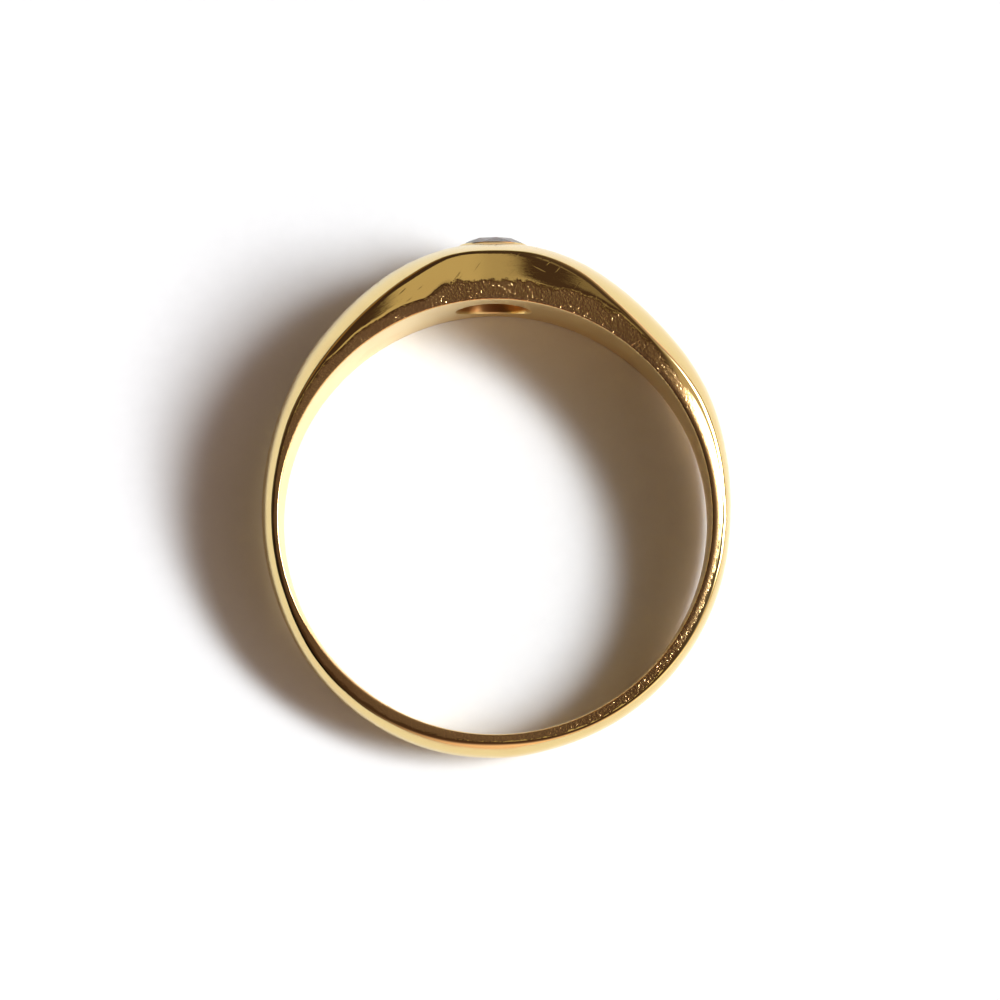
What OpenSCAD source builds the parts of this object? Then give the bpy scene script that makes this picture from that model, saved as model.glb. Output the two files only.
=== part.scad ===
// Flush set gypsy ring, lying on its side on Z = 0.
// +X is the wearer's right side of the ring, +Y runs to the head and the stone, +Z is up.
// Lengths are millimetres. The hoop's own frame has its Z axis along the finger.

/* [Finger bore] */
// Diameter of the hole for the finger
bore_d = 18; // [14:0.1:22]
// Rounding of both edges of the bore
bore_round = 0.16; // [0.05:0.01:0.2]

/* [Hoop] */
// Width across the bore wall under the head
head_w = 5.8; // [5.2:0.1:8]
// Width across the bore wall at the back of the shank
back_w = 2.8; // [2:0.1:4]
// Thickness from the bore to the crown of the dome at the head
head_t = 2.6; // [2.4:0.05:3.4]
// Thickness from the bore to the crown of the dome on the shank
shank_t = 0.85; // [0.8:0.05:1.6]
// Thickness of the flat side face at the head
head_side_t = 1.95; // [1.6:0.05:2.1]
// Thickness of the flat side face on the shank
shank_side_t = 0.4; // [0.3:0.02:0.6]
// Softening of the crease between side face and dome
crease_round = 0.09; // [0.04:0.01:0.12]

/* [Stone] */
// Girdle diameter of the round brilliant
stone_d = 3.5; // [2.8:0.1:3.8]
// Table width as a share of the girdle diameter
table_share = 0.53; // [0.48:0.01:0.62]
// Slope of the crown's main facets, in degrees
crown_slope = 34.5; // [30:0.5:36]
// Slope of the pavilion's main facets, in degrees
pavilion_slope = 40.75; // [39:0.25:42]
// Thickness of the girdle
girdle_t = 0.1; // [0.06:0.01:0.16]
// Height of the table above the crown of the dome
stone_proud = 0.22; // [0.1:0.02:0.3]

/* [Seat] */
// Diameter of the open hole behind the stone
culet_hole_d = 3; // [2.2:0.1:3.2]
// Countersink of that hole at the finger bore
hole_flare = 0.1; // [0.05:0.01:0.15]
// Clearance between the stone and its seat
seat_gap = 0.03; // [0.02:0.005:0.05]
// Flat bevel that the burnisher leaves round the stone
burnish_w = 0.12; // [0.06:0.01:0.18]

/* [Hidden] */

bore_r = bore_d / 2;
// The two side faces are planes that close towards the back
wedge = atan((head_w - back_w) / 2 / bore_d);
mid_half_w = (head_w + back_w) / 4;
head_r = bore_r + head_t;
// Depth of metal inside the bore that the finger hole cuts away again
bore_stock = 0.2;
// Drop of the bore stock's face for each millimetre inwards
stock_fall = 3;
// Overrun of every cut past the face that it opens
cut_over = 1;

// Growth of the hoop from shank to head, seen along the finger, right and left half.
// A share of 0 is the shank's named thickness and 1 is the head's; the worn left is thinner.
// Columns: turn from the head in degrees, crown right, side right, crown left, side left
TURN = 0;
CROWN_R = 1;
SIDE_R = 2;
CROWN_L = 3;
SIDE_L = 4;
growth = [
    [  0, 1.00, 1.00, 1.00, 1.00],
    [ 10, 0.96, 0.95, 0.96, 0.97],
    [ 20, 0.83, 0.71, 0.83, 0.70],
    [ 30, 0.64, 0.44, 0.63, 0.43],
    [ 40, 0.48, 0.28, 0.45, 0.23],
    [ 50, 0.38, 0.20, 0.30, 0.10],
    [ 60, 0.28, 0.16, 0.15, 0.03],
    [ 75, 0.12, 0.09, 0.00, -0.07],
    [ 90, 0.02, 0.05, -0.08, -0.10],
    [110, -0.01, 0.03, -0.09, -0.09],
    [130, -0.04, 0.04, -0.01, 0.00],
    [150, -0.03, 0.03, 0.04, 0.03],
    [165, -0.02, 0.00, 0.05, 0.01],
    [180, 0.03, -0.04, 0.03, -0.04]
];
LAST = len(growth) - 1;

// Slope of a column at row i, level at the head and at the back so that both halves meet
function rise_at(i, col) = i == 0 || i == LAST ? 0
    : (growth[i + 1][col] - growth[i - 1][col]) / (growth[i + 1][TURN] - growth[i - 1][TURN]);
// Cubic between rows i and i + 1, with u from 0 to 1
function blend_rows(i, u, col) =
    let (gap = growth[i + 1][TURN] - growth[i][TURN])
    (2 * pow(u, 3) - 3 * pow(u, 2) + 1) * growth[i][col]
    + (pow(u, 3) - 2 * pow(u, 2) + u) * gap * rise_at(i, col)
    + (3 * pow(u, 2) - 2 * pow(u, 3)) * growth[i + 1][col]
    + (pow(u, 3) - pow(u, 2)) * gap * rise_at(i + 1, col);
function row_of(turn, i = 0) = i == LAST - 1 || turn < growth[i + 1][TURN] ? i : row_of(turn, i + 1);
function share(turn, col) =
    let (i = row_of(turn))
    blend_rows(i, (turn - growth[i][TURN]) / (growth[i + 1][TURN] - growth[i][TURN]), col);

// phi runs round the finger from the head over +X, 0 to 360
function crown_r(phi) = bore_r + shank_t + (head_t - shank_t)
    * (phi <= 180 ? share(phi, CROWN_R) : share(360 - phi, CROWN_L));
function side_r(phi) = bore_r + shank_side_t + (head_side_t - shank_side_t)
    * (phi <= 180 ? share(phi, SIDE_R) : share(360 - phi, SIDE_L));
// Half width between the side planes at radius r
function half_w(r, phi) = mid_half_w + r * cos(phi) * tan(wedge);

// Round dome from side plane to side plane: radius at height z of a section
function dome_r(z, phi) =
    let (top = crown_r(phi), sag = top - side_r(phi), half = half_w(side_r(phi), phi))
    let (arc = (half * half + sag * sag) / (2 * sag))
    top - arc + sqrt(arc * arc - z * z);
function curve3(a, b, c, t) = pow(1 - t, 2) * a + 2 * t * (1 - t) * b + t * t * c;

// Upper half of a section as [radius, height], from the bore over the side face to the crown
bore_steps = [0.25, 0.5, 0.75, 1];
crease_steps = [0, 0.33, 0.67, 1];
dome_steps = 8;
function half_section(phi) =
    let (edge = side_r(phi), edge_h = half_w(edge, phi), bore_h = half_w(bore_r, phi))
    let (crease_h = edge_h - crease_round)
    let (first = curve3([bore_r, bore_h - bore_round], [bore_r, bore_h],
                        [bore_r + bore_round, half_w(bore_r + bore_round, phi)], bore_steps[0]))
    concat(
        [[bore_r - bore_stock, first[1] - bore_stock * stock_fall]],
        [for (t = bore_steps)
            curve3([bore_r, bore_h - bore_round], [bore_r, bore_h],
                   [bore_r + bore_round, half_w(bore_r + bore_round, phi)], t)],
        [for (t = crease_steps)
            curve3([edge - crease_round, half_w(edge - crease_round, phi)], [edge, edge_h],
                   [dome_r(crease_h, phi), crease_h], t)],
        [for (i = [1 : dome_steps - 1])
            let (z = crease_h * cos(90 * i / dome_steps))
            [dome_r(z, phi), z]]
    );
function flip(pts) = [for (i = [len(pts) - 1 : -1 : 0]) [pts[i][0], -pts[i][1]]];
function section(phi) = concat(half_section(phi), [[crown_r(phi), 0]], flip(half_section(phi)));

hoop_sections = 120;
section_points = len(section(0));
hoop_points = [for (i = [0 : hoop_sections - 1])
    let (phi = 360 * i / hoop_sections)
    for (p = section(phi)) [p[0] * sin(phi), p[0] * cos(phi), p[1]]];
function hoop_point(i, j) = (i % hoop_sections) * section_points + j % section_points;
hoop_faces = [for (i = [0 : hoop_sections - 1]) for (j = [0 : section_points - 1])
    for (face = [
        [hoop_point(i, j), hoop_point(i, j + 1), hoop_point(i + 1, j + 1)],
        [hoop_point(i, j), hoop_point(i + 1, j + 1), hoop_point(i + 1, j)]
    ]) face];

// The brilliant, with its girdle's lower edge at height 0 and its table up
stone_r = stone_d / 2;
table_r = stone_r * table_share;
table_z = girdle_t + (stone_r - table_r) * tan(crown_slope);
half_step = 22.5;
quarter_step = 11.25;
table_mid_r = table_r * cos(half_step);
// Star facets reach half way from the table's edge to the girdle
star_r = (table_mid_r + stone_r) / 2;
star_z = girdle_t + (stone_r - star_r * cos(half_step)) * tan(crown_slope);
star_slope = atan((table_z - star_z) / (star_r - table_mid_r));
upper_slope = atan((star_z - girdle_t) / ((stone_r - star_r) * cos(quarter_step)));
// Lower girdle facets reach 77 % of the way down to the culet
lower_share = 0.77;
lower_r = stone_r * (1 - lower_share);
lower_z = (stone_r - lower_r * cos(half_step)) * tan(pavilion_slope);
lower_slope = atan(lower_z / ((stone_r - lower_r) * cos(quarter_step)));
pavilion_h = stone_r * tan(pavilion_slope);
// Turns the facets so that none of their edges lies along the finger
stone_turn = 9;

// The seat, on the same axis and heights as the stone
seat_r = stone_r + seat_gap;
culet_hole_r = culet_hole_d / 2;
seat_low_z = -(seat_r - culet_hole_r) * tan(pavilion_slope) - seat_gap;
// Height of the dome's crown over the girdle's lower edge
dome_z = table_z - stone_proud;
stone_y = head_r - dome_z;
// The lip follows the crown facets from the girdle up to the dome
lip_z = girdle_t + seat_gap;
lip_end_z = dome_z - burnish_w / 2;
function lip_r(z) = seat_r - (z - lip_z) / tan(crown_slope);
bore_z = bore_r - stone_y;

// Middle of the ring's outline, which lies over the origin
back_r = crown_r(180);
middle_y = (head_r + stone_proud - back_r) / 2;

// Places the hoop's frame so that its lower side face lies on Z = 0
module lying() {
    translate([0, -middle_y * cos(wedge), mid_half_w * cos(wedge)])
        rotate([wedge, 0, 0])
            children();
}

module on_stone_axis() {
    translate([0, stone_y, 0])
        rotate([-90, 0, 0])
            children();
}

module finger_hole() {
    cylinder(r = bore_r, h = 2 * head_w, center = true, $fn = 180);
}

module seat_hole() {
    rotate_extrude($fn = 96)
        polygon([
            [0, bore_z - cut_over],
            [culet_hole_r + hole_flare, bore_z - cut_over],
            [culet_hole_r + hole_flare, bore_z],
            [culet_hole_r, bore_z + hole_flare],
            [culet_hole_r, seat_low_z],
            [seat_r, -seat_gap],
            [seat_r, lip_z],
            [lip_r(lip_end_z), lip_end_z],
            [lip_r(lip_end_z) + burnish_w, lip_end_z + burnish_w],
            [lip_r(lip_end_z) + burnish_w, table_z + cut_over],
            [0, table_z + cut_over]
        ]);
}

module ring_band() {
    color("goldenrod")
        lying()
            difference() {
                polyhedron(points = hoop_points, faces = hoop_faces, convexity = 6);
                finger_hole();
                on_stone_axis()
                    seat_hole();
            }
}

// Half space above a facet that passes through [r, z] and falls outwards by the slope
module facet(turn, r, z, slope) {
    rotate([0, 0, turn])
        translate([r, 0, z])
            rotate([0, slope, 0])
                translate([-stone_d, -stone_d, 0])
                    cube([2 * stone_d, 2 * stone_d, stone_d]);
}

module crown_facets() {
    translate([-stone_d, -stone_d, table_z])
        cube([2 * stone_d, 2 * stone_d, stone_d]);
    for (i = [0 : 7]) {
        facet(45 * i, stone_r, girdle_t, crown_slope);
        facet(45 * i + half_step, table_mid_r, table_z, star_slope);
        for (side = [-1, 1])
            facet(45 * i + side * quarter_step, stone_r * cos(quarter_step), girdle_t, upper_slope);
    }
}

module pavilion_facets() {
    mirror([0, 0, 1])
        for (i = [0 : 7]) {
            facet(45 * i, stone_r, 0, pavilion_slope);
            for (side = [-1, 1])
                facet(45 * i + side * quarter_step, stone_r * cos(quarter_step), 0, lower_slope);
        }
}

module stone() {
    color("gainsboro")
        lying()
            on_stone_axis()
                rotate([0, 0, stone_turn])
                    difference() {
                        translate([0, 0, -pavilion_h - cut_over])
                            cylinder(r = stone_r, h = pavilion_h + table_z + 2 * cut_over, $fn = 96);
                        crown_facets();
                        pavilion_facets();
                    }
}

ring_band();
stone();
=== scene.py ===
import math

import bmesh
import bpy
import numpy as np
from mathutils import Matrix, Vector


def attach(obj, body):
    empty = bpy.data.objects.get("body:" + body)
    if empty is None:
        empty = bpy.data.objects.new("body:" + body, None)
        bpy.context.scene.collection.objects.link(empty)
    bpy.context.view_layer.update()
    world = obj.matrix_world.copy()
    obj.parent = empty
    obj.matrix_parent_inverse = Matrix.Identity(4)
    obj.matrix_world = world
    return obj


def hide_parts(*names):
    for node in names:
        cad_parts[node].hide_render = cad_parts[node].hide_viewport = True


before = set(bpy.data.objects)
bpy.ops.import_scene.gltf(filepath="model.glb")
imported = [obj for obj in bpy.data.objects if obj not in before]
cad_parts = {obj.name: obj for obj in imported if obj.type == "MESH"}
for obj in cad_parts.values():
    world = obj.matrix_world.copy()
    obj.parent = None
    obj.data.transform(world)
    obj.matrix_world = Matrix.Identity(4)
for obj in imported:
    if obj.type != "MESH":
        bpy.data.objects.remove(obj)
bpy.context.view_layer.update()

# Flush set gypsy ring lying on its side, +Y towards the head, +Z up.
# The hoop is worked out in millimetres in its own frame: Z runs along the finger and
# the centre is the middle of the bore. phi is the turn from the head over +X, in degrees.
print("frame loaded:", ", ".join(sorted(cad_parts)))

mm = 0.001

hoop = {
    "boreR": 8.94,         # the worn wall stands a little inside the solid's
    "headW": 5.8,          # width of the bore wall under the head
    "backW": 2.8,          # and at the back of the shank
    "headT": 2.66,         # bore to crown at the head
    "shankT": 0.91,
    "headSideT": 2.01,     # flat side face at the head
    "shankSideT": 0.46,
    "boreSwell": 0.03,     # comfort swell of the bore wall
    "boreRound": 0.07,     # worn round of the bore's edges
    "boreRoundShare": 0.25,    # and at most this much of the side face
    "shankPower": 3.6,     # 2 is a plain arc, more is flatter with rounder shoulders
    "crease": 0.07,        # round between side face and dome
    "creaseShare": 0.4,
    "rubbedTilt": 25.0,    # the right shank's side is rubbed down to a slope, degrees
    "rubbedBeside": 0.12,  # from this far beside the bore's edge
    "rubbedFrom": 40.0,    # turn where it starts
    "rubbedTo": 136.0,     # and ends
    "rubbedOver": 28.0,
    "lift": 0.50,          # both sides of the worn shank stand this far off the table
    "liftFrom": 0.55,      # how far aside it starts, 1 is straight to the side
    "liftOver": 0.35,
    "wearW": 0.55,         # rolled band beside the bore's edge
    "wearWider": 0.42,     # more of it over the head and the right
    "widerFrom": -18.0,
    "widerOver": 8.0,
    "wearShare": 0.9,      # and at most this much of the side face
    "wearDrop": 0.055,
    "wearCurve": 1.4,      # over 1 keeps the roll close to the edge
    "roundUneven": 0.12,   # how uneven handwork left the round, the crease and the band
    "creaseUneven": 0.15,
    "wearUneven": 0.08,
    "roundWaves": (3, 24),    # waves round the hoop, from and up to
    "creaseWaves": (5, 40),
    "wearWaves": (4, 30),
    "sharpFrom": 38.0,     # edges past this many degrees are shaded sharp
    "around": 720,         # sections
    "wallSteps": 16,
    "roundSteps": 6,
    "sideSteps": 12,
    "sideGather": 1.2,     # over 1 gathers the side face's rows towards the bore
    "creaseSteps": 5,
    "domeSteps": 20,
    "seed": 11,
}

# Growth from shank to head: turn, crown right, side right, crown left, side left
crownRight, sideRight, crownLeft, sideLeft = 1, 2, 3, 4
growth = np.array([
    [0, 1.00, 1.00, 1.00, 1.00],
    [10, 0.96, 0.99, 0.96, 0.97],
    [20, 0.83, 0.81, 0.83, 0.70],
    [30, 0.64, 0.48, 0.63, 0.43],
    [40, 0.48, 0.28, 0.45, 0.23],
    [50, 0.38, 0.20, 0.30, 0.10],
    [60, 0.28, 0.16, 0.15, 0.03],
    [75, 0.09, 0.08, 0.00, -0.09],
    [90, -0.03, 0.03, -0.07, -0.13],
    [110, -0.05, 0.01, -0.08, -0.12],
    [130, -0.04, 0.04, -0.01, 0.00],
    [150, -0.03, 0.03, 0.04, 0.03],
    [165, -0.02, 0.00, 0.05, 0.01],
    [180, 0.03, -0.04, 0.03, -0.04],
])

# Wear of the inner edge: turn, how far it is rolled off, how much it is knocked
rolledOff, knockedBy = 1, 2
edgeWear = np.array([
    [0, 1.0, 1.0],
    [45, 1.0, 1.0],
    [65, 1.0, 0.35],
    [90, 1.0, 0.06],
    [108, 1.0, 0.5],
    [125, 1.0, 1.3],
    [155, 1.0, 1.1],
    [175, 0.8, 0.4],
    [200, 0.4, 0.3],
    [225, 0.15, 0.15],
    [275, 0.15, 0.08],
    [300, 0.5, 0.3],
    [325, 0.9, 0.5],
    [345, 1.0, 0.8],
])

# Small dents of the dome: turn, height, radius, depth
dents = [
    (-26.0, 1.60, 0.12, 0.050),
    (-25.2, 1.95, 0.09, 0.030),
    (178.5, 0.90, 0.11, 0.020),
    (46.0, 0.40, 0.30, 0.010),
    (-62.0, -0.60, 0.35, 0.012),
    (128.0, 0.50, 0.28, 0.010),
    (212.0, 0.20, 0.30, 0.010),
    (8.5, 2.30, 0.12, 0.015),
]

seat = {
    "stoneD": 3.5,
    "tableShare": 0.53,
    "crownSlope": 34.5,
    "pavilionSlope": 40.75,
    "girdleT": 0.1,
    "proud": 0.22,
    "holeD": 3.12,
    "holeFlare": 0.05,
    "gap": 0.03,
    "burnishW": 0.12,
    "iHalf": 26,           # half the window of the hoop's grid that the seat takes up
    "jHalf": 12,
    "patchRings": 10,
    "lipRows": 5,
    "lipRoll": 0.04,       # width of the roll from the dome into the lip
    "rollStart": 0.4,      # its first row, as a share of the width
    "rollFall": (0.35, 0.7),    # fall of its two rows for each millimetre inwards
    "lipLand": 0.012,      # undercut just below it
    "holeLand": 0.06,      # straight start of the hole under the seat
    "holeRows": (0.33, 0.66, 1.0),    # rows of the hole's wall, as shares of its height
    "flareStart": 0.6,     # the flare's first row, as a share of its width
    "flareDepth": 0.03,
}

wedge = math.atan((hoop["headW"] - hoop["backW"]) / 4 / hoop["boreR"])
midHalfW = (hoop["headW"] + hoop["backW"]) / 4
headR = hoop["boreR"] + hoop["headT"]


def growthShare(turn, column):
    # cubic through the rows, with the mean slope of the neighbours, level at head and back
    rows = growth[:, 0]
    values = growth[:, column]
    slopes = np.zeros(len(rows))
    slopes[1:-1] = (values[2:] - values[:-2]) / (rows[2:] - rows[:-2])
    i = np.clip(np.searchsorted(rows, turn, side="right") - 1, 0, len(rows) - 2)
    gap = rows[i + 1] - rows[i]
    u = (turn - rows[i]) / gap
    return ((2 * u**3 - 3 * u**2 + 1) * values[i] + (u**3 - 2 * u**2 + u) * gap * slopes[i]
            + (3 * u**2 - 2 * u**3) * values[i + 1] + (u**3 - u**2) * gap * slopes[i + 1])


def halfShare(phi, right, left):
    # the right half reads one column by the turn from the head and the left half another
    turn = np.mod(phi, 360)
    return np.where(turn <= 180, growthShare(np.minimum(turn, 360 - turn), right),
                    growthShare(np.minimum(turn, 360 - turn), left))


def crownRadius(phi):
    # bore and shank thickness, plus the head's extra by its share
    extra = hoop["headT"] - hoop["shankT"]
    return hoop["boreR"] + hoop["shankT"] + extra * halfShare(phi, crownRight, crownLeft)


def sideRadius(phi):
    # the same for the outer edge of the side face
    extra = hoop["headSideT"] - hoop["shankSideT"]
    return hoop["boreR"] + hoop["shankSideT"] + extra * halfShare(phi, sideRight, sideLeft)


def halfWidth(r, phi):
    # the side faces are two planes that close towards the back
    return midHalfW + r * np.cos(np.radians(phi)) * math.tan(wedge)


def domeRadius(z, phi):
    # crown less the dome's fall: the height's share of the half width to a power,
    # 2 for the head's plain dome and more for the shank's flatter back with round shoulders
    top = crownRadius(phi)
    edge = sideRadius(phi)
    share = (top - hoop["boreR"] - hoop["shankT"]) / (hoop["headT"] - hoop["shankT"])
    power = 2 + (hoop["shankPower"] - 2) * np.sqrt(np.clip(1 - share, 0, 1))
    return top - (top - edge) * (np.abs(z) / halfWidth(edge, phi))**power


def domeSlope(z, phi):
    # how fast the dome falls at z, from two points close together
    step = 0.001
    return (domeRadius(z - step, phi) - domeRadius(z, phi)) / step


def boreRadius(z, phi):
    # the wall swells inwards a little between its edges, by the square of the height
    share = z / halfWidth(hoop["boreR"], phi)
    return hoop["boreR"] - hoop["boreSwell"] * np.clip(1 - share**2, 0, 1)


def eased(share):
    # 3 s squared - 2 s cubed, held at 0 and 1
    s = np.clip(share, 0, 1)
    return s * s * (3 - 2 * s)


def ripple(phi, seed, low, high):
    # sum of sines round the hoop with seeded sizes and phases, about -1 to 1
    rng = np.random.default_rng(seed)
    counts = np.arange(low, high)
    sizes = rng.normal(size=len(counts))
    phases = rng.uniform(0, 2 * np.pi, len(counts))
    waves = np.sin(np.radians(phi)[..., None] * counts + phases) * sizes
    return waves.sum(-1) / np.sqrt((sizes**2).sum())


def lying(points):
    # from the hoop's frame to the frame the ring lies in, and from millimetres to metres
    backR = crownRadius(np.array([180.0]))[0]
    middleY = (headR + seat["proud"] - backR) / 2
    c, s = math.cos(wedge), math.sin(wedge)
    y = points[..., 1] * c - points[..., 2] * s - middleY * c
    z = points[..., 1] * s + points[..., 2] * c + midHalfW * c
    return np.stack([points[..., 0], y, z], -1) * mm


def bezier(a, b, c, t):
    # quadratic curve from a over the corner b to c
    return (1 - t)**2 * a + 2 * t * (1 - t) * b + t**2 * c


def hoopGrid():
    # one row of section points for each phi: wall, bore round, side face, crease, dome, mirrored;
    # zones are 0 dome, 1 side face and 2 bore wall, and wear runs from 1 at the bore's edge to 0
    phi = np.arange(hoop["around"]) * 360 / hoop["around"]
    boreR = hoop["boreR"]
    edge = sideRadius(phi)
    sideT = edge - boreR

    halves = []
    for sign in (1, -1):
        seed = hoop["seed"] + (0 if sign > 0 else 50)
        uneven = 1 + hoop["roundUneven"] * ripple(phi, seed, *hoop["roundWaves"])
        boreRound = np.minimum(hoop["boreRound"] * uneven, hoop["boreRoundShare"] * sideT)
        uneven = 1 + hoop["creaseUneven"] * ripple(phi, seed + 1, *hoop["creaseWaves"])
        crease = np.minimum(hoop["crease"] * uneven, hoop["creaseShare"] * sideT)

        # the worn band widens smoothly over the head and stays wide on the right
        turned = np.mod(phi + 180, 360) - 180
        wider = eased((turned - hoop["widerFrom"]) / hoop["widerOver"])
        wearW = hoop["wearW"] + hoop["wearWider"] * wider
        uneven = 1 + hoop["wearUneven"] * ripple(phi, seed + 2, *hoop["wearWaves"])
        wearW = np.minimum(wearW * uneven, hoop["wearShare"] * sideT)
        rolled = np.interp(phi, edgeWear[:, 0], edgeWear[:, rolledOff], period=360)
        wearDrop = hoop["wearDrop"] * rolled * np.minimum(wearW / hoop["wearW"], 1)

        rubbed = (eased((phi - hoop["rubbedFrom"]) / hoop["rubbedOver"])
                  * eased((hoop["rubbedTo"] - phi) / hoop["rubbedOver"]))
        slope = rubbed * math.tan(math.radians(hoop["rubbedTilt"]))
        aside = np.abs(np.sin(np.radians(phi)))
        lift = hoop["lift"] * np.clip((aside - hoop["liftFrom"]) / hoop["liftOver"], 0, 1)**2
        if sign > 0:
            lift = 0

        def sideZ(r):
            # side plane, less the roll towards the bore, the rubbed slope and the lift; the slope
            # starts softly, as the longer side of a triangle less its shorter one
            u = np.clip(1 - (r - boreR) / wearW, 0, 1)
            away = np.maximum(r - boreR - hoop["rubbedBeside"], 0)
            rubbedDrop = slope * (np.hypot(away, hoop["rubbedBeside"]) - hoop["rubbedBeside"])
            return halfWidth(r, phi) - wearDrop * u**hoop["wearCurve"] - rubbedDrop - lift

        wallTop = sideZ(boreR) - boreRound
        inner = boreR + boreRound
        outer = edge - crease
        creaseZ = sideZ(edge) - crease
        columns = []
        for t in np.arange(hoop["wallSteps"]) / hoop["wallSteps"]:
            columns.append((boreRadius(wallTop * t, phi), wallTop * t))
        wallEnd = boreRadius(wallTop, phi)
        for t in np.arange(hoop["roundSteps"]) / hoop["roundSteps"]:
            columns.append((bezier(wallEnd, boreR, inner, t),
                            bezier(wallTop, sideZ(boreR), sideZ(inner), t)))
        for t in np.arange(hoop["sideSteps"]) / hoop["sideSteps"]:
            r = inner + (outer - inner) * t**hoop["sideGather"]
            columns.append((r, sideZ(r)))
        domeStart = domeRadius(creaseZ, phi)
        corner = domeStart - domeSlope(creaseZ, phi) * crease
        for t in np.arange(hoop["creaseSteps"]) / hoop["creaseSteps"]:
            columns.append((bezier(outer, corner, domeStart, t),
                            bezier(sideZ(outer), sideZ(edge), creaseZ, t)))
        for t in np.arange(hoop["domeSteps"] + 1) / hoop["domeSteps"]:
            z = creaseZ * (1 - t)
            columns.append((domeRadius(z, phi), z))
        r = np.stack([c[0] for c in columns], 1)
        z = np.stack([c[1] for c in columns], 1)
        halves.append((r, z * sign, wearW))
    (rUp, zUp, wearW), (rDown, zDown, _) = halves
    r = np.concatenate([rUp, rDown[:, -2:0:-1]], 1)
    z = np.concatenate([zUp, zDown[:, -2:0:-1]], 1)
    phiGrid = np.broadcast_to(phi[:, None], r.shape)

    # dents pull the dome in by a bell curve
    onDome = np.zeros(r.shape[1])
    first = hoop["wallSteps"] + hoop["roundSteps"] + hoop["sideSteps"] + hoop["creaseSteps"]
    onDome[first:r.shape[1] - first + 1] = 1
    for turn, height, size, depth in dents:
        away = np.radians((phiGrid - turn + 180) % 360 - 180) * r
        r = r - onDome * depth * np.exp(-(away**2 + (z - height)**2) / size**2)

    points = np.stack([r * np.sin(np.radians(phiGrid)), r * np.cos(np.radians(phiGrid)), z], -1)
    nWall = hoop["wallSteps"] + hoop["roundSteps"] // 2
    zone = np.zeros(r.shape)
    zone[:, :nWall] = 2
    zone[:, r.shape[1] - nWall + 1:] = 2
    zone[:, nWall:first] = 1
    zone[:, r.shape[1] - first + 1:r.shape[1] - nWall + 1] = 1
    wear = np.clip(1 - (r - boreR) / wearW[:, None], 0, 1) * (zone == 1)
    knocked = np.interp(phi, edgeWear[:, 0], edgeWear[:, knockedBy], period=360)
    return points, zone, wear, np.broadcast_to(knocked[:, None], r.shape)


def seatLevels():
    # heights on the stone's axis, from the girdle's lower edge, as the metal's cut has them
    stoneR = seat["stoneD"] / 2
    tableR = stoneR * seat["tableShare"]
    tableZ = seat["girdleT"] + (stoneR - tableR) * math.tan(math.radians(seat["crownSlope"]))
    domeZ = tableZ - seat["proud"]
    stoneY = headR - domeZ
    seatR = stoneR + seat["gap"]
    holeR = seat["holeD"] / 2
    lowZ = -(seatR - holeR) * math.tan(math.radians(seat["pavilionSlope"])) - seat["gap"]
    lipZ = seat["girdleT"] + seat["gap"]
    lipEnd = domeZ - seat["burnishW"] / 2
    lipR = seatR - (lipEnd - lipZ) / math.tan(math.radians(seat["crownSlope"]))
    return {"stoneY": stoneY, "seatR": seatR, "holeR": holeR, "lowZ": lowZ, "lipZ": lipZ,
            "lipEnd": lipEnd, "lipR": lipR}


def windowLoop(iHalf, jMiddle, jHalf, jWay, rows, columns):
    # grid indices once round a window of the hoop; jWay is the step that leads to -Z
    i = np.concatenate([np.full(2 * jHalf, iHalf), np.arange(iHalf, -iHalf, -1),
                        np.full(2 * jHalf, -iHalf), np.arange(-iHalf, iHalf)])
    j = np.concatenate([np.arange(-jHalf, jHalf), np.full(2 * iHalf, jHalf),
                        np.arange(jHalf, -jHalf, -1), np.full(2 * iHalf, -jHalf)])
    return (i % rows) * columns + (jMiddle + j * jWay) % columns


def domePoint(x, z):
    # point of the dome over x and z, found by a few rounds of phi = asin(x / r)
    phi = np.zeros_like(x)
    for _ in range(6):
        phi = np.degrees(np.arcsin(x / domeRadius(z, phi)))
    r = domeRadius(z, phi)
    return np.stack([x, np.sqrt(r**2 - x**2), z], -1)


def borePoint(x, z):
    # the same on the bore wall, whose radius hardly changes
    phi = np.degrees(np.arcsin(x / hoop["boreR"]))
    return np.stack([x, np.sqrt(boreRadius(z, phi)**2 - x**2), z], -1)


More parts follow.
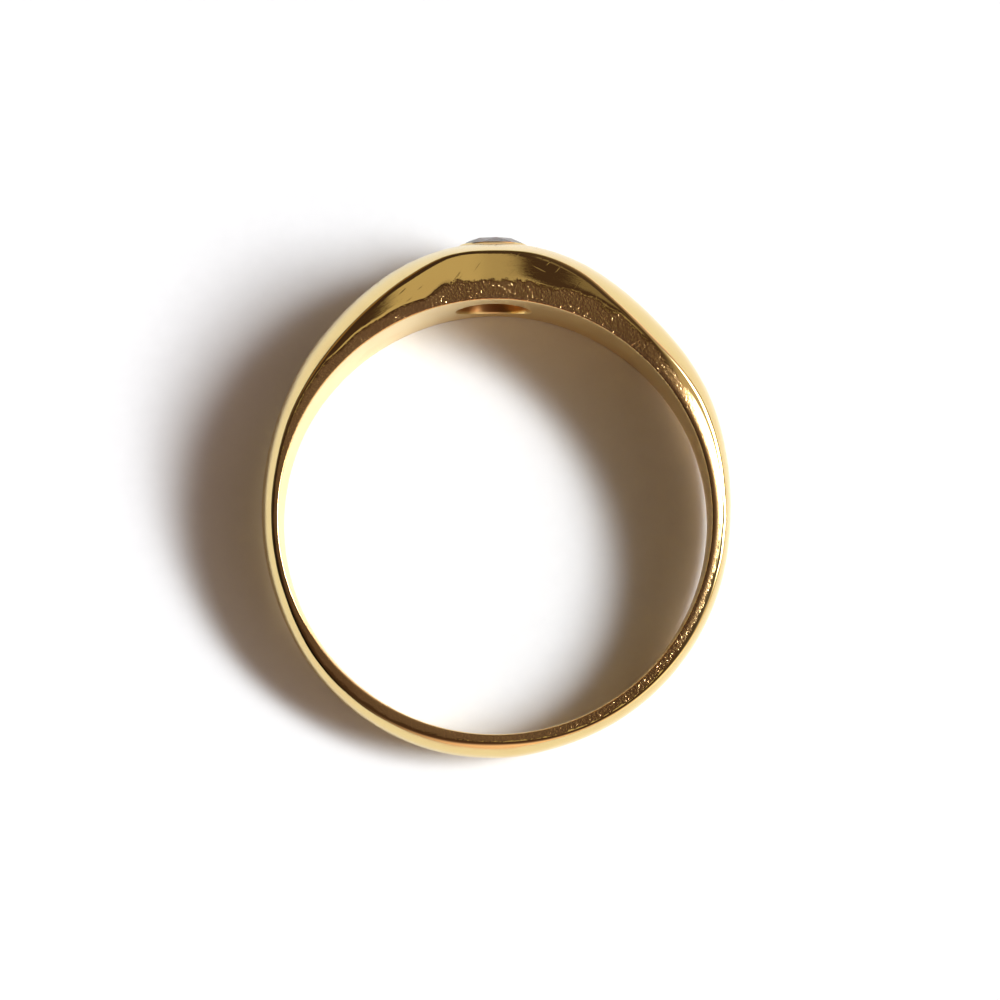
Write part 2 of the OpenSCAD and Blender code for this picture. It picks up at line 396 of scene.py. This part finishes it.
def seatLoops(outerEdge, innerEdge):
    # rings of points from the window in the dome, down through the seat, to the window in the bore
    level = seatLevels()
    x0, z0 = outerEdge[:, 0], outerEdge[:, 2]
    x1, z1 = innerEdge[:, 0], innerEdge[:, 2]
    a0 = np.unwrap(np.arctan2(z0, x0))
    a1 = np.unwrap(np.arctan2(z1, x1))
    a1 += 2 * np.pi * round((a0[0] - a1[0]) / (2 * np.pi))
    loops = []
    topR = level["lipR"] + seat["burnishW"]
    for t in np.linspace(0, 1, seat["patchRings"] + 1)[1:]:
        x = x0 + (topR * np.cos(a0) - x0) * t
        z = z0 + (topR * np.sin(a0) - z0) * t
        loops.append(domePoint(x, z))
    rim = loops[-1][:, 1]

    # profile as radius and height; the first rows roll over the burnished rim
    roll, land = seat["lipRoll"], seat["lipLand"]
    profile = [
        (topR - seat["rollStart"] * roll, None), (topR - roll, None),
        (level["lipR"] + roll / 2, level["lipEnd"] + roll / 2), (level["lipR"], level["lipEnd"]),
        (level["lipR"] + land, level["lipEnd"] - land),
        ((level["lipR"] + level["seatR"]) / 2, (level["lipEnd"] + level["lipZ"]) / 2),
        (level["seatR"], level["lipZ"]), (level["seatR"], -seat["gap"]),
        (level["holeR"], level["lowZ"]), (level["holeR"], level["lowZ"] - seat["holeLand"]),
    ]
    bottom = hoop["boreR"] - level["stoneY"] + seat["holeFlare"]
    for t in seat["holeRows"]:
        profile.append((level["holeR"], level["lowZ"] + (bottom - level["lowZ"]) * t))
    for step, (radius, height) in enumerate(profile):
        a = a0 + (a1 - a0) * step / (len(profile) - 1)
        if height is None:
            y = rim - (topR - radius) * seat["rollFall"][step]
        else:
            y = level["stoneY"] + height + 0 * a
        loops.append(np.stack([radius * np.cos(a), y, radius * np.sin(a)], -1))
    flareR = level["holeR"] + seat["holeFlare"]
    for t in (0.0, 1.0):
        share = seat["flareStart"] + (1 - seat["flareStart"]) * t
        radius = level["holeR"] + (flareR - level["holeR"]) * share
        p = borePoint(radius * np.cos(a1), radius * np.sin(a1))
        p[:, 1] += (1 - t) * seat["flareDepth"]
        loops.append(p)
    for t in np.linspace(1, 0, seat["patchRings"] + 1)[1:-1]:
        x = x1 + (flareR * np.cos(a1) - x1) * t
        z = z1 + (flareR * np.sin(a1) - z1) * t
        loops.append(borePoint(x, z))
    return loops


def ringFaces(first, second):
    # quads between two closed rows of vertices, each with the next of its row
    return np.stack([first, np.roll(first, -1), np.roll(second, -1), second], -1)


def buildBand():
    # the hoop's grid less a window in the dome and one in the bore, joined by the seat's rings
    points, zone, wear, knocked = hoopGrid()
    rows, columns = zone.shape
    index = np.arange(rows * columns).reshape(rows, columns)
    quads = np.stack([index, np.roll(index, -1, 0), np.roll(np.roll(index, -1, 0), -1, 1),
                      np.roll(index, -1, 1)], -1)
    keep = np.ones((rows, columns), bool)
    crownColumn = columns // 2
    i = np.arange(-seat["iHalf"], seat["iHalf"]) % rows
    for middle in (crownColumn, 0):
        j = (middle + np.arange(-seat["jHalf"], seat["jHalf"])) % columns
        keep[np.ix_(i, j)] = False
    faces = [quads[keep]]

    flat = points.reshape(-1, 3)
    outer = windowLoop(seat["iHalf"], crownColumn, seat["jHalf"], 1, rows, columns)
    inner = windowLoop(seat["iHalf"], 0, seat["jHalf"], -1, rows, columns)
    loops = seatLoops(flat[outer], flat[inner])
    total = len(flat)
    rowsOf = [outer]
    for loop in loops:
        rowsOf.append(total + np.arange(len(loop)))
        total += len(loop)
    rowsOf.append(inner)
    for a, b in zip(rowsOf[:-1], rowsOf[1:]):
        faces.append(ringFaces(a, b))
    faces = np.concatenate(faces)
    allPoints = np.concatenate([flat] + loops)
    # the seat's cut starts below its rolled lip and ends at the hole's flare
    zoneOf = np.full(len(loops), 3.0)
    zoneOf[:seat["patchRings"] + seat["lipRows"]] = 0
    zoneOf[-seat["patchRings"] - 1:] = 2
    extraZone = np.repeat(zoneOf, [len(l) for l in loops])
    allZone = np.concatenate([zone.ravel(), extraZone])
    allWear = np.concatenate([wear.ravel(), np.zeros(len(extraZone))])
    allKnocked = np.concatenate([knocked.ravel(), np.zeros(len(extraZone))])

    used, packed = np.unique(faces, return_inverse=True)
    faces = packed.reshape(faces.shape)
    allPoints, allZone = allPoints[used], allZone[used]
    allWear, allKnocked = allWear[used], allKnocked[used]

    mesh = bpy.data.meshes.new("gold_band")
    mesh.from_pydata(lying(allPoints).tolist(), [], faces.tolist())
    # the polishing lines' place: once round the hoop, and on across its width and outwards
    turn = np.arctan2(allPoints[:, 0], allPoints[:, 1])
    outwards = np.hypot(allPoints[:, 0], allPoints[:, 1]) - hoop["boreR"]
    across = allPoints[:, 2] + gold["linesOutwards"] * outwards
    sweep = np.stack([np.sin(turn), np.cos(turn), across * gold["linesAcross"]], -1)
    mesh.attributes.new("sweep", "FLOAT_VECTOR", "POINT").data.foreach_set("vector", sweep.ravel())
    for name, values in (("sideFace", allZone == 1), ("boreWall", allZone == 2),
                         ("seatCut", allZone == 3), ("innerWear", allWear),
                         ("knocked", allKnocked)):
        attribute = mesh.attributes.new(name, "FLOAT", "POINT")
        attribute.data.foreach_set("value", np.asarray(values, float))
    work = bmesh.new()
    work.from_mesh(mesh)
    bmesh.ops.recalc_face_normals(work, faces=work.faces)
    if work.calc_volume(signed=True) < 0:
        bmesh.ops.reverse_faces(work, faces=work.faces)
    work.to_mesh(mesh)
    volume = work.calc_volume()
    openEdges = sum(1 for e in work.edges if len(e.link_faces) != 2)
    work.free()
    mesh.shade_smooth()
    mesh.set_sharp_from_angle(angle=math.radians(hoop["sharpFrom"]))
    band = bpy.data.objects.new("gold_band", mesh)
    bpy.context.scene.collection.objects.link(band)
    print(f"band: {len(faces)} quads, {volume / mm**3:.1f} mm3, {openEdges} open edges")
    return band


gold = {
    "colour": (0.80, 0.625, 0.28),
    "shadeAndFilmColour": (0.70, 0.35, 0.15),    # painted shade in the nicks and on the worn band, and the handling film's own tone
    # painted shade: dark amber of the seat's cut and the hole under the stone
    "holeShadeColour": (0.50, 0.25, 0.09),
    "nickShade": 0.8,         # how much of that colour is in each: painted shade in the nicks and on the worn band, the film's own tone in the film
    "wornShadeTint": 0.5,
    "filmTint": 0.08,
    "domeRough": 0.17,
    "sideRough": 0.02,
    "boreRough": 0.28,
    "wearRough": 0.24,
    "seatRough": 0.34,
    "sheenRough": 0.03,      # added by the polishing lines and the film
    "filmRough": 0.04,
    "waveDepth": 1.0e-6,     # metres, like the depths below
    "lineDepth": 1.2e-6,
    "scratchDepth": 0.5e-6,
    "grainDepth": 2.2e-5,
    "nickDepth": 1.0e-5,
    "sideLines": 0.2,        # share of the lines' depth that is left on the side faces
    "linesOutwards": 1.7,    # spread of the lines outwards, 1 as along the finger
    "linesAcross": 0.1,
    "lineLength": 5.0,
    "lineFineness": 90.0,
    "waveScale": 600.0,
    "grainScale": 10000.0,
    "raggedScale": 2200.0,   # ragged outer edge of the worn band
    "raggedDepth": 0.8,
    "raggedShift": 0.4,
    "nickFineness": 9500.0,
    "nickClusters": 1600.0,
    # scratches: turn, stretch along and across them, share of the cells that are cut
    "scratches": [(0.35, 900.0, 16000.0, 0.07), (-0.75, 1300.0, 15000.0, 0.12)],
    "patchScale": 420.0,
    "speckScale": 5200.0,
}


def newGroup(name, inputs, outputs):
    # a node group with named sockets: label, kind and default of each input
    group = bpy.data.node_groups.new(name, "ShaderNodeTree")
    for label, kind, value in inputs:
        socket = group.interface.new_socket(name=label, in_out="INPUT", socket_type=kind)
        if value is not None:
            socket.default_value = value
    for label, kind in outputs:
        group.interface.new_socket(name=label, in_out="OUTPUT", socket_type=kind)
    return group, group.nodes.new("NodeGroupInput"), group.nodes.new("NodeGroupOutput")


def addNode(tree, kind, settings=None, values=None):
    node = tree.nodes.new(kind)
    for key, value in (settings or {}).items():
        setattr(node, key, value)
    for key, value in (values or {}).items():
        node.inputs[key].default_value = value
    return node


def math2(tree, operation, a, b=None, clamp=False):
    # a math node on two sockets or numbers
    node = addNode(tree, "ShaderNodeMath", {"operation": operation, "use_clamp": clamp})
    for n, item in enumerate((a, b)):
        if item is None:
            continue
        if isinstance(item, (int, float)):
            node.inputs[n].default_value = item
        else:
            tree.links.new(item, node.inputs[n])
    return node.outputs[0]


def ramp(tree, value, low, high, toLow=0.0, toHigh=1.0):
    # smooth step between the two limits
    node = addNode(tree, "ShaderNodeMapRange", {"interpolation_type": "SMOOTHSTEP"},
                   {"From Min": low, "From Max": high, "To Min": toLow, "To Max": toHigh})
    tree.links.new(value, node.inputs["Value"])
    return node.outputs[0]


def mixColour(tree, factor, a, b):
    # a and the factor's share of the way to b; each is a socket or a fixed value
    node = addNode(tree, "ShaderNodeMix", {"data_type": "RGBA"})
    for socket, item in ((node.inputs[0], factor), (node.inputs[6], a), (node.inputs[7], b)):
        if hasattr(item, "is_linked"):
            tree.links.new(item, socket)
        else:
            socket.default_value = item if isinstance(item, float) else (*item, 1.0)
    return node.outputs[2]


def polishLinesGroup():
    # fine lines that polishing leaves round the hoop, from noise stretched along the sweep
    group, start, end = newGroup("polish_lines",
                                 [("Sweep", "NodeSocketVector", None),
                                  ("Length", "NodeSocketFloat", 5.0),
                                  ("Fineness", "NodeSocketFloat", 90.0)],
                                 [("Height", "NodeSocketFloat"), ("Sheen Mask", "NodeSocketFloat")])
    split = addNode(group, "ShaderNodeSeparateXYZ")
    group.links.new(start.outputs["Sweep"], split.inputs[0])
    heights = []
    for seed, scale in ((0.0, 1.0), (7.3, 2.3)):
        joined = addNode(group, "ShaderNodeCombineXYZ")
        length = math2(group, "MULTIPLY", start.outputs["Length"], scale)
        fine = math2(group, "MULTIPLY", start.outputs["Fineness"], scale)
        group.links.new(math2(group, "MULTIPLY", split.outputs[0], length), joined.inputs[0])
        group.links.new(math2(group, "MULTIPLY", split.outputs[1], length), joined.inputs[1])
        group.links.new(math2(group, "ADD", math2(group, "MULTIPLY", split.outputs[2], fine), seed),
                        joined.inputs[2])
        noise = addNode(group, "ShaderNodeTexNoise", None, {"Scale": 1.0, "Detail": 4.0, "Roughness": 0.6})
        group.links.new(joined.outputs[0], noise.inputs["Vector"])
        heights.append(noise.outputs[0])
    group.links.new(math2(group, "ADD", heights[0], math2(group, "MULTIPLY", heights[1], 0.5)),
                    end.inputs["Height"])
    group.links.new(ramp(group, heights[1], low=0.4, high=0.65), end.inputs["Sheen Mask"])
    return group


def nicksGroup():
    # little nicks where the metal has been knocked: the peaks of a noise, in clusters
    group, start, end = newGroup("nicks",
                                 [("Position", "NodeSocketVector", None),
                                  ("Fineness", "NodeSocketFloat", 5000.0),
                                  ("Cluster Scale", "NodeSocketFloat", 700.0),
                                  ("Mask", "NodeSocketFloat", 1.0)],
                                 [("Height", "NodeSocketFloat"), ("Nick Mask", "NodeSocketFloat")])
    peaks = addNode(group, "ShaderNodeTexNoise", None, {"Detail": 1.5, "Roughness": 0.5})
    group.links.new(start.outputs["Position"], peaks.inputs["Vector"])
    group.links.new(start.outputs["Fineness"], peaks.inputs["Scale"])
    clusters = addNode(group, "ShaderNodeTexNoise", None, {"Detail": 1.0})
    group.links.new(start.outputs["Position"], clusters.inputs["Vector"])
    group.links.new(start.outputs["Cluster Scale"], clusters.inputs["Scale"])
    pit = ramp(group, peaks.outputs[0], low=0.58, high=0.74)
    inside = ramp(group, clusters.outputs[0], low=0.35, high=0.65, toLow=0.25)
    masked = math2(group, "MULTIPLY", math2(group, "MULTIPLY", pit, inside), start.outputs["Mask"])
    group.links.new(math2(group, "MULTIPLY", masked, -1.0), end.inputs["Height"])
    group.links.new(masked, end.inputs["Nick Mask"])
    return group


def scratchesGroup():
    # short fine scratches one way: bent cells drawn out long and thin, of which few are cut
    group, start, end = newGroup("scratches",
                                 [("Position", "NodeSocketVector", None),
                                  ("Turn", "NodeSocketVector", None),
                                  ("Long", "NodeSocketFloat", 700.0),
                                  ("Fine", "NodeSocketFloat", 8000.0),
                                  ("Share", "NodeSocketFloat", 0.3)],
                                 [("Height", "NodeSocketFloat")])
    bend = addNode(group, "ShaderNodeTexNoise", None, {"Scale": 450.0, "Detail": 0.0})
    group.links.new(start.outputs["Position"], bend.inputs["Vector"])
    bent = addNode(group, "ShaderNodeVectorMath", {"operation": "MULTIPLY_ADD"})
    group.links.new(bend.outputs["Color"], bent.inputs[0])
    bentBy = 0.6 * mm
    bent.inputs[1].default_value = (bentBy, bentBy, bentBy)
    group.links.new(start.outputs["Position"], bent.inputs[2])
    turned = addNode(group, "ShaderNodeMapping")
    group.links.new(bent.outputs[0], turned.inputs["Vector"])
    group.links.new(start.outputs["Turn"], turned.inputs["Rotation"])
    drawn = addNode(group, "ShaderNodeCombineXYZ")
    group.links.new(start.outputs["Long"], drawn.inputs[0])
    group.links.new(start.outputs["Fine"], drawn.inputs[1])
    group.links.new(start.outputs["Long"], drawn.inputs[2])
    scaled = addNode(group, "ShaderNodeVectorMath", {"operation": "MULTIPLY"})
    group.links.new(turned.outputs[0], scaled.inputs[0])
    group.links.new(drawn.outputs[0], scaled.inputs[1])
    cells = addNode(group, "ShaderNodeTexVoronoi", {"feature": "F1"}, {"Scale": 1.0})
    group.links.new(scaled.outputs[0], cells.inputs["Vector"])
    split = addNode(group, "ShaderNodeSeparateColor")
    group.links.new(cells.outputs["Color"], split.inputs[0])
    chosen = math2(group, "LESS_THAN", split.outputs[0], start.outputs["Share"])
    cut = ramp(group, cells.outputs["Distance"], low=0.05, high=0.4, toLow=1.0, toHigh=0.0)
    depth = math2(group, "MULTIPLY", math2(group, "MULTIPLY", cut, chosen), split.outputs[1])
    group.links.new(math2(group, "MULTIPLY", depth, -1.0), end.inputs["Height"])
    return group


def handlingFilmGroup():
    # thin film of handling: broad cloudy patches and specks of dust
    group, start, end = newGroup("handling_film",
                                 [("Position", "NodeSocketVector", None),
                                  ("Patch Scale", "NodeSocketFloat", 400.0),
                                  ("Speck Scale", "NodeSocketFloat", 5000.0)],
                                 [("Film", "NodeSocketFloat"), ("Specks", "NodeSocketFloat")])
    noise = addNode(group, "ShaderNodeTexNoise", None, {"Detail": 5.0, "Roughness": 0.55})
    group.links.new(start.outputs["Position"], noise.inputs["Vector"])
    group.links.new(start.outputs["Patch Scale"], noise.inputs["Scale"])
    group.links.new(ramp(group, noise.outputs[0], low=0.42, high=0.68), end.inputs["Film"])
    cells = addNode(group, "ShaderNodeTexVoronoi", {"feature": "F1"})
    group.links.new(start.outputs["Position"], cells.inputs["Vector"])
    group.links.new(start.outputs["Speck Scale"], cells.inputs["Scale"])
    split = addNode(group, "ShaderNodeSeparateColor")
    group.links.new(cells.outputs["Color"], split.inputs[0])
    speckShare = 0.12
    few = math2(group, "LESS_THAN", split.outputs[0], speckShare)
    spot = ramp(group, cells.outputs["Distance"], low=0.06, high=0.2, toLow=1.0, toHigh=0.0)
    group.links.new(math2(group, "MULTIPLY", few, spot), end.inputs["Specks"])
    return group


def attributeOf(tree, name):
    node = addNode(tree, "ShaderNodeAttribute", {"attribute_name": name})
    return node.outputs["Vector"] if name == "sweep" else node.outputs["Fac"]


def placeGroup(tree, group, values, links):
    # one use of a node group, with fixed values and linked sockets
    node = addNode(tree, "ShaderNodeGroup")
    node.node_tree = group
    for key, value in values.items():
        node.inputs[key].default_value = value
    for key, socket in links.items():
        tree.links.new(socket, node.inputs[key])
    return node


def newMaterial(name):
    # a material with its node tree and its shader
    material = bpy.data.materials.new(name)
    material.use_nodes = True
    tree = material.node_tree
    return material, tree, tree.nodes["Principled BSDF"]


def wornGold(lines, nicks, scratches, film):
    material, tree, shader = newMaterial("worn_gold")
    position = addNode(tree, "ShaderNodeTexCoord").outputs["Object"]
    sweep = attributeOf(tree, "sweep")
    side = attributeOf(tree, "sideFace")
    bore = attributeOf(tree, "boreWall")
    cut = attributeOf(tree, "seatCut")
    wear = attributeOf(tree, "innerWear")
    knocked = attributeOf(tree, "knocked")

    polish = placeGroup(tree, lines, {"Length": gold["lineLength"], "Fineness": gold["lineFineness"]},
                        {"Sweep": sweep})
    ragged = addNode(tree, "ShaderNodeTexNoise", None,
                     {"Scale": gold["raggedScale"], "Detail": 4.0, "Roughness": 0.65})
    tree.links.new(position, ragged.inputs["Vector"])
    frayed = math2(tree, "MULTIPLY_ADD", ragged.outputs[0], gold["raggedDepth"])
    tree.links.new(math2(tree, "SUBTRACT", wear, gold["raggedShift"]), frayed.node.inputs[2])
    wearAndShadeMask = math2(tree, "MULTIPLY", ramp(tree, frayed, low=0.10, high=0.30),
                     ramp(tree, wear, low=0.0, high=0.1))
    knockMask = math2(tree, "MULTIPLY", wearAndShadeMask, knocked)
    edgeNicks = placeGroup(tree, nicks, {"Fineness": gold["nickFineness"],
                                         "Cluster Scale": gold["nickClusters"]},
                           {"Position": position, "Mask": knockMask})
    grain = addNode(tree, "ShaderNodeTexNoise", None,
                    {"Scale": gold["grainScale"], "Detail": 2.0, "Roughness": 0.6})
    tree.links.new(position, grain.inputs["Vector"])
    handled = placeGroup(tree, film, {"Patch Scale": gold["patchScale"],
                                      "Speck Scale": gold["speckScale"]}, {"Position": position})

    # colour: clean gold, with painted shade deepening it in the nicks and on the worn band, a little of
    # the film's own tone, and painted shade in the seat's cut
    # painted shade deepens the colour inside the nicks
    nickShade = math2(tree, "MULTIPLY", edgeNicks.outputs["Nick Mask"], gold["nickShade"], True)
    nickShaded = mixColour(tree, nickShade, gold["colour"], gold["shadeAndFilmColour"])
    filmTint = math2(tree, "MULTIPLY", handled.outputs["Film"], gold["filmTint"])
    # painted shade on the worn band beside the bore's edge, plus the handling film's own tone
    shadeAndFilm = math2(tree, "ADD", math2(tree, "MULTIPLY", wearAndShadeMask, gold["wornShadeTint"]), filmTint, True)
    shadedAndFilmed = mixColour(tree, shadeAndFilm, nickShaded, gold["shadeAndFilmColour"])
    # painted shade in the seat's cut and the hole under the stone
    tree.links.new(mixColour(tree, cut, shadedAndFilmed, gold["holeShadeColour"]), shader.inputs["Base Color"])

    # roughness by zone, each zone's difference from the dome's added where it is
    rough = gold["domeRough"]
    for mask, zoneRough in ((side, gold["sideRough"]), (bore, gold["boreRough"]),
                            (cut, gold["seatRough"])):
        rough = math2(tree, "ADD", rough, math2(tree, "MULTIPLY", mask, zoneRough - gold["domeRough"]))
    wornMore = math2(tree, "MULTIPLY", wearAndShadeMask, gold["wearRough"] - gold["sideRough"])
    rough = math2(tree, "ADD", rough, wornMore)
    dull = math2(tree, "MULTIPLY", polish.outputs["Sheen Mask"], gold["sheenRough"])
    filmRough = math2(tree, "MULTIPLY", handled.outputs["Film"], gold["filmRough"])
    dull = math2(tree, "ADD", dull, filmRough)
    dull = math2(tree, "MULTIPLY", dull, math2(tree, "SUBTRACT", 1.0, side))
    rough = math2(tree, "ADD", rough, dull, True)
    tree.links.new(rough, shader.inputs["Roughness"])
    shader.inputs["Metallic"].default_value = 1.0

    # height in metres: soft waves of hand polishing, lines, scratches, grain and nicks
    waves = addNode(tree, "ShaderNodeTexNoise", None, {"Scale": gold["waveScale"], "Detail": 0.0})
    tree.links.new(position, waves.inputs["Vector"])
    lineDepth = math2(tree, "MULTIPLY_ADD", side, gold["lineDepth"] * (gold["sideLines"] - 1))
    lineDepth.node.inputs[2].default_value = gold["lineDepth"]
    height = math2(tree, "MULTIPLY", waves.outputs[0], gold["waveDepth"])
    height = math2(tree, "ADD", height, math2(tree, "MULTIPLY", polish.outputs["Height"], lineDepth))
    for turn, long, fine, share in gold["scratches"]:
        scratch = placeGroup(tree, scratches, {"Turn": (0.0, 0.0, turn), "Long": long, "Fine": fine,
                                               "Share": share}, {"Position": position})
        cutIn = math2(tree, "MULTIPLY", scratch.outputs["Height"], gold["scratchDepth"])
        height = math2(tree, "ADD", height, cutIn)
    grained = math2(tree, "MULTIPLY", knockMask, gold["grainDepth"])
    aboutMean = math2(tree, "SUBTRACT", grain.outputs[0], 0.5)
    height = math2(tree, "ADD", height, math2(tree, "MULTIPLY", aboutMean, grained))
    nicked = math2(tree, "MULTIPLY", edgeNicks.outputs["Height"], gold["nickDepth"])
    height = math2(tree, "ADD", height, nicked)
    bump = addNode(tree, "ShaderNodeBump", None, {"Distance": 1.0, "Strength": 1.0})
    tree.links.new(height, bump.inputs["Height"])
    tree.links.new(bump.outputs[0], shader.inputs["Normal"])
    return material


glass = {
    # painted shade: grey tint that darkens the stone in place of the dark surroundings it mirrors; a clean
    # stone is colourless
    "tone": (0.30, 0.30, 0.30, 1.0),
    "ior": 2.42,
    "patchScale": 900.0,
    "speckScale": 9000.0,
    "filmRough": 0.02,
    "speckRough": 0.25,
}


def clearStone(film):
    material, tree, shader = newMaterial("clear_stone")
    position = addNode(tree, "ShaderNodeTexCoord").outputs["Object"]
    handled = placeGroup(tree, film, {"Patch Scale": glass["patchScale"],
                                      "Speck Scale": glass["speckScale"]}, {"Position": position})
    rough = math2(tree, "ADD", math2(tree, "MULTIPLY", handled.outputs["Film"], glass["filmRough"]),
                  math2(tree, "MULTIPLY", handled.outputs["Specks"], glass["speckRough"]), True)
    tree.links.new(rough, shader.inputs["Roughness"])
    # painted shade: the grey tint darkens the clear stone
    shader.inputs["Base Color"].default_value = glass["tone"]
    shader.inputs["IOR"].default_value = glass["ior"]
    shader.inputs["Transmission Weight"].default_value = 1.0
    return material


paper = {
    "dark": (0.86, 0.86, 0.855),
    "light": (0.90, 0.90, 0.895),
    "grainScale": 1500.0,
    "rough": 0.9,
    "shine": 0.1,
}


def paleFloor():
    material, tree, shader = newMaterial("pale_paper")
    position = addNode(tree, "ShaderNodeTexCoord").outputs["Object"]
    grain = addNode(tree, "ShaderNodeTexNoise", None, {"Scale": paper["grainScale"], "Detail": 4.0})
    tree.links.new(position, grain.inputs["Vector"])
    tone = mixColour(tree, grain.outputs[0], paper["dark"], paper["light"])
    tree.links.new(tone, shader.inputs["Base Color"])
    shader.inputs["Roughness"].default_value = paper["rough"]
    shader.inputs["Specular IOR Level"].default_value = paper["shine"]
    return material


studio = {
    # overhead strips: x from, x to, glow
    "strips": [(-0.0190, -0.0020, 0.54), (-0.0020, 0.0045, 0.42), (0.0150, 0.0210, 0.18)],
    "stripY": (-0.085, -0.010),
    "stripZ": 0.5,
    "stripColour": (1.0, 0.85, 0.52),
    "panes": 5,                       # tight glows that make up the window
    "paneAzimuth": (-14.0, 9.0),      # first and last
    "paneElevation": (35.5, 47.5),
    "paneTightness": 250.0,
    "paneGlow": (35.5, 37.5, 39.5),
    "floorSize": 1.6,
}

# Soft glows of the room: azimuth from +X, elevation, tightness, then red, green and blue
roomGlows = [
    (315.0, 12.0, 14.0, 2.00, 1.65, 1.45),    # bright wall, front right
    (270.0, 12.0, 14.0, 1.25, 0.82, 0.68),    # warm wall in front
    (0.0, 10.0, 14.0, 0.60, 0.48, 0.34),      # wall under the window
    (45.0, 12.0, 14.0, 1.20, 0.84, 0.80),
    (45.0, 38.0, 14.0, 0.22, 0.19, 0.22),
    (90.0, 12.0, 14.0, 0.40, 0.35, 0.22),
    (135.0, 38.0, 14.0, 0.42, 0.25, 0.12),    # lamp light, back left
    (180.0, 12.0, 14.0, 0.08, 0.07, 0.07),    # dark left side
    (270.0, 62.0, 14.0, 0.075, 0.036, 0.022),
    (0.0, 90.0, 14.0, 0.030, 0.018, 0.014),   # dark ceiling
    (5.0, 64.0, 40.0, 0.60, 0.49, 0.37),      # above the window
    (30.0, 76.0, 90.0, 0.12, 0.07, 0.04),
]

view = {
    "distance": 0.150,
    "elevation": 81.5,
    "pixelsPerMm": 23.58,
    "imageW": 1000,
    "under": (0.0, -0.00095, 0.0),    # table point under the middle of the bore
    "underPixel": (495.2, 528.0),     # where that point lies in the picture
    "sensor": 36.0,
    "clipStart": 0.005,
}


def addArea(name, location, target, width, depth, power):
    light = bpy.data.lights.new(name, "AREA")
    light.shape = "RECTANGLE"
    light.size, light.size_y = width, depth
    light.energy = power
    lamp = bpy.data.objects.new(name, light)
    lamp.location = location
    lamp.rotation_euler = (Vector(target) - Vector(location)).to_track_quat("-Z", "Y").to_euler()
    bpy.context.scene.collection.objects.link(lamp)
    return lamp


def buildStudio():
    scene = bpy.context.scene
    scene.view_settings.view_transform = "Standard"
    half = studio["floorSize"] / 2
    mesh = bpy.data.meshes.new("floor")
    corners = [(-half, -half, 0), (half, -half, 0), (half, half, 0), (-half, half, 0)]
    mesh.from_pydata(corners, [], [(0, 1, 2, 3)])
    floor = bpy.data.objects.new("floor", mesh)
    floor.data.materials.append(paleFloor())
    scene.collection.objects.link(floor)

    # overhead reflectors that the head's side face mirrors: power is glow times pi times area
    y0, y1 = studio["stripY"]
    for x0, x1, glow in studio["strips"]:
        place = ((x0 + x1) / 2, (y0 + y1) / 2, studio["stripZ"])
        power = glow * math.pi * (x1 - x0) * (y1 - y0)
        strip = addArea("strip", place, (place[0], place[1], 0), x1 - x0, y1 - y0, power)
        strip.data.color = studio["stripColour"]

    world = bpy.data.worlds.new("room")
    scene.world = world
    world.use_nodes = True
    tree = world.node_tree
    direction = addNode(tree, "ShaderNodeTexCoord").outputs["Generated"]
    panes = studio["panes"]
    azimuths = np.linspace(*studio["paneAzimuth"], panes)
    elevations = np.linspace(*studio["paneElevation"], panes)
    glows = [(azimuths[i], elevations[i], studio["paneTightness"], *studio["paneGlow"])
             for i in range(panes)]
    total = None
    for azimuth, elevation, tightness, red, green, blue in glows + roomGlows:
        # e to the power of tightness times (cosine of the angle to the glow's middle - 1)
        a, e = math.radians(azimuth), math.radians(elevation)
        middle = (math.cos(e) * math.cos(a), math.cos(e) * math.sin(a), math.sin(e))
        cosine = addNode(tree, "ShaderNodeVectorMath", {"operation": "DOT_PRODUCT"})
        tree.links.new(direction, cosine.inputs[0])
        cosine.inputs[1].default_value = middle
        lower = math2(tree, "SUBTRACT", cosine.outputs["Value"], 1.0)
        strength = math2(tree, "EXPONENT", math2(tree, "MULTIPLY", lower, tightness))
        colour = addNode(tree, "ShaderNodeVectorMath", {"operation": "SCALE"})
        colour.inputs[0].default_value = (red, green, blue)
        tree.links.new(strength, colour.inputs["Scale"])
        if total is None:
            total = colour.outputs[0]
            continue
        joined = addNode(tree, "ShaderNodeVectorMath", {"operation": "ADD"})
        tree.links.new(total, joined.inputs[0])
        tree.links.new(colour.outputs[0], joined.inputs[1])
        total = joined.outputs[0]
    tree.links.new(total, tree.nodes["Background"].inputs["Color"])


def buildCamera():
    # aims so that the table point under the bore's middle lands on its pixel
    e = math.radians(view["elevation"])
    back = Vector((0, -math.cos(e), math.sin(e)))
    upward = Vector((0, math.sin(e), math.cos(e)))
    under = Vector(view["under"])
    perMetre = view["pixelsPerMm"] / mm
    place = under + back * view["distance"]
    shiftX = (view["imageW"] / 2 - view["underPixel"][0]) / perMetre
    shiftY = (view["underPixel"][1] - view["imageW"] / 2) / perMetre
    aim = under + Vector((shiftX, 0, 0)) + upward * shiftY
    data = bpy.data.cameras.new("camera")
    data.sensor_width = view["sensor"]
    data.lens = view["sensor"] * view["distance"] * perMetre / view["imageW"]
    data.clip_start = view["clipStart"]
    camera = bpy.data.objects.new("camera", data)
    camera.location = place
    camera.rotation_euler = (aim - place).to_track_quat("-Z", "Y").to_euler()
    bpy.context.scene.collection.objects.link(camera)
    bpy.context.scene.camera = camera


buildCamera()
buildStudio()
print("camera and studio ready")

lines, nicks, scratches, film = polishLinesGroup(), nicksGroup(), scratchesGroup(), handlingFilmGroup()
band = buildBand()
band.data.materials.append(wornGold(lines, nicks, scratches, film))
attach(band, "root")
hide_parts("ring_band")

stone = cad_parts["stone"]
stoneLook = clearStone(film)
for slotOf in stone.material_slots:
    slotOf.material = stoneLook
if not stone.material_slots:
    stone.data.materials.append(stoneLook)
print("stone dressed:", len(stone.data.polygons), "triangles")
